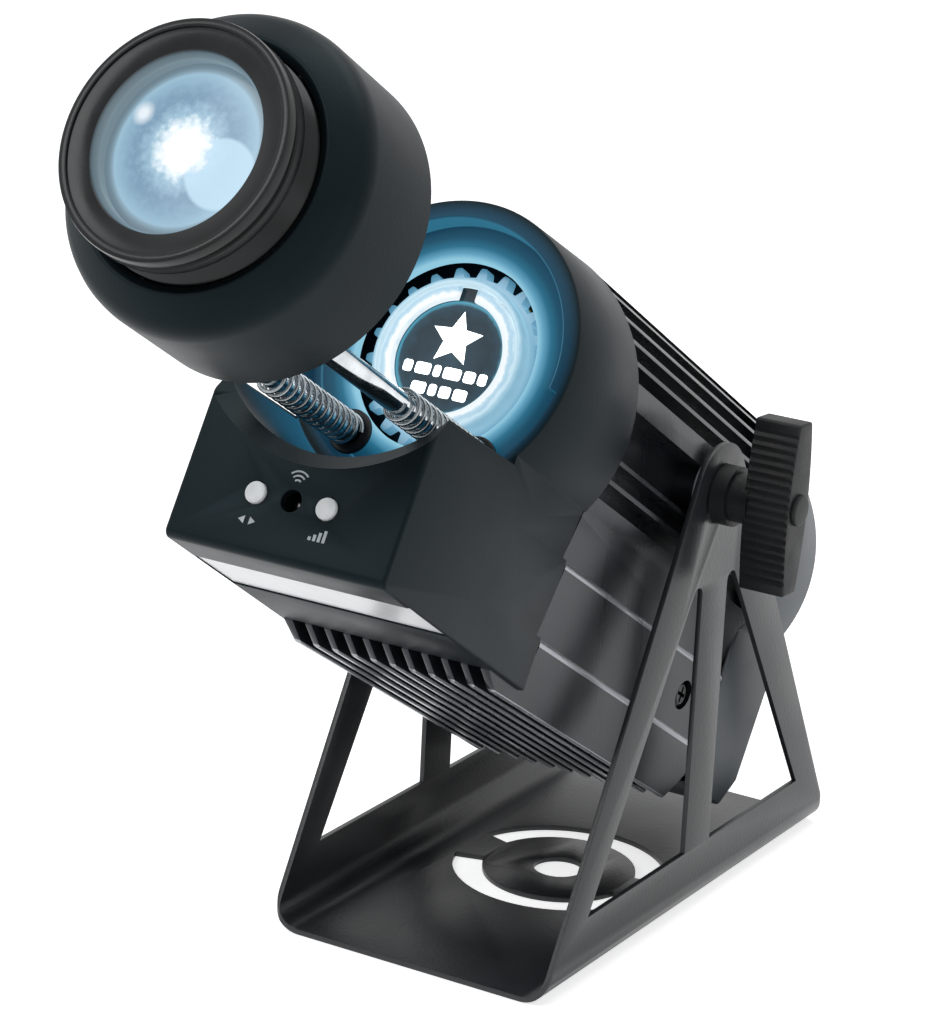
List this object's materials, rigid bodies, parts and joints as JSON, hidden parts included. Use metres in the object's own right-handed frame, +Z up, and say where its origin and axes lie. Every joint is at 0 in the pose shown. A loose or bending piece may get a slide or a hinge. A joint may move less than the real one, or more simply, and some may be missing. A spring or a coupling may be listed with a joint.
{
  "type": "gobo projector",
  "caption": "Compact spotlight that throws a printed glass pattern: finned lamp head tilting in a folded steel bracket, lens nose sliding out on sprung chrome rods.",
  "frame": {"origin": "middle of the outline seen from above, on the surface the bracket stands on", "axes": "+Z up, the light leaves towards -Y and up, X runs through the tilt pivots with +X at the lamp's left-hand arm as seen from behind"},
  "size_m": [0.131, 0.2894, 0.2613],
  "materials": {
    "bracket_paint": "black satin powder coat",
    "sink_finish": "black anodised, satin",
    "cover_finish": "black moulded plastic, fine satin",
    "rear_finish": "dark grey moulded plastic, satin",
    "grip": "black moulded grip, matt",
    "chrome_rod": "ground and chromed steel",
    "spring_steel": "bright spring steel",
    "screw_black": "blackened steel screw",
    "tube_anodised": "black anodised, fine turned",
    "lens": "clear polished glass, blue coating",
    "art_glass": "printed glass gobo",
    "led_white": "white lamp board, gloss",
    "phosphor": "yellow phosphor",
    "board_green": "green circuit board",
    "button_white": "white moulded key",
    "receiver_dark": "smoked dark plastic",
    "nylon": "pale nylon",
    "brass": "machined brass",
    "motor_can": "plain steel can"
  },
  "bodies": {
    "bracket": {"bracket": "bracket_paint"},
    "head": {"heatsink_body": "sink_finish", "front_cover": "cover_finish", "rear_cover": "rear_finish", "driver_board": "board_green", "rear_screw_1": "screw_black", "rear_screw_2": "screw_black", "rear_screw_3": "screw_black", "rear_screw_4": "screw_black", "cable_gland_body": "grip", "cable_gland_nut": "grip", "side_screw_left": "screw_black", "side_screw_right": "screw_black", "led_board": "led_white", "led_emitter": "phosphor", "condenser_barrel": "tube_anodised", "condenser_lens_rear": "lens", "condenser_lens_front": "lens", "condenser_spacer": "tube_anodised", "condenser_clip": "screw_black", "gobo_carrier": "cover_finish", "rotor_bearing": "brass", "gobo_motor": "motor_can", "guide_bush_left": "grip", "guide_bush_right": "grip", "buffer_spring_left": "spring_steel", "buffer_spring_right": "spring_steel", "friction_washer_left": "nylon", "friction_washer_right": "nylon", "control_board": "board_green", "ir_receiver": "receiver_dark"},
    "gobo_rotor": {"gobo_rotor": "nylon", "gobo_disc": "art_glass", "gobo_clip": "spring_steel"},
    "motor_pinion": {"motor_pinion": "nylon"},
    "button_left": {"button_left": "button_white"},
    "button_right": {"button_right": "button_white"},
    "nose": {"nose_cone": "cover_finish", "guide_rod_left": "chrome_rod", "guide_rod_right": "chrome_rod", "rod_clip_left": "spring_steel", "rod_clip_right": "spring_steel"},
    "lens_tube": {"lens_tube": "tube_anodised", "objective_lens_rear": "lens", "objective_clip": "screw_black", "objective_lens_front": "lens"},
    "focus_ring": {"focus_ring": "tube_anodised"},
    "tilt_knob_left": {"tilt_knob_left": "grip"},
    "tilt_knob_right": {"tilt_knob_right": "grip"}
  },
  "joints": [
    {"name": "head_tilt", "type": "hinge", "parent": "bracket", "child": "head", "pos_m": [0, 0.06196, 0.1183], "axis": [-1, 0, 0], "range_deg": [-52, 58]},
    {"name": "nose_slide", "type": "slide", "parent": "head", "child": "nose", "axis": [0, -0.8499, 0.527], "range_m": [-0.0836, 0], "deforming": ["buffer_spring_left", "buffer_spring_right"]},
    {"name": "focus_turn", "type": "hinge", "parent": "lens_tube", "child": "focus_ring", "pos_m": [0, -0.12671, 0.23528], "axis": [0, -0.8499, 0.527], "range_deg": [-1090, 730]},
    {"name": "lens_travel", "type": "slide", "parent": "nose", "child": "lens_tube", "axis": [0, -0.8499, 0.527], "range_m": [-0.006, 0.004]},
    {"name": "gobo_spin", "type": "hinge", "parent": "head", "child": "gobo_rotor", "pos_m": [0, -0.00603, 0.16046], "axis": [0, -0.8499, 0.527], "continuous": true},
    {"name": "pinion_spin", "type": "hinge", "parent": "head", "child": "motor_pinion", "pos_m": [0, -0.02284, 0.13334], "axis": [0, -0.8499, 0.527], "continuous": true},
    {"name": "button_left_press", "type": "slide", "parent": "head", "child": "button_left", "axis": [0, 0.8499, -0.527], "range_m": [0, 0.0006], "stiffness_N_per_m": 600},
    {"name": "button_right_press", "type": "slide", "parent": "head", "child": "button_right", "axis": [0, 0.8499, -0.527], "range_m": [0, 0.0006], "stiffness_N_per_m": 600},
    {"name": "tilt_knob_left_turn", "type": "hinge", "parent": "head", "child": "tilt_knob_left", "pos_m": [-0.057, 0.06196, 0.1183], "axis": [-1, 0, 0], "range_deg": [0, 360]},
    {"name": "tilt_knob_right_turn", "type": "hinge", "parent": "head", "child": "tilt_knob_right", "pos_m": [0.057, 0.06196, 0.1183], "axis": [1, 0, 0], "range_deg": [0, 360]}
  ],
  "couplings": [
    {"joint": "pinion_spin", "follows": "gobo_spin", "ratio": -2.75},
    {"joint": "focus_turn", "follows": "lens_travel", "rad_per_m": 3141.6}
  ]
}
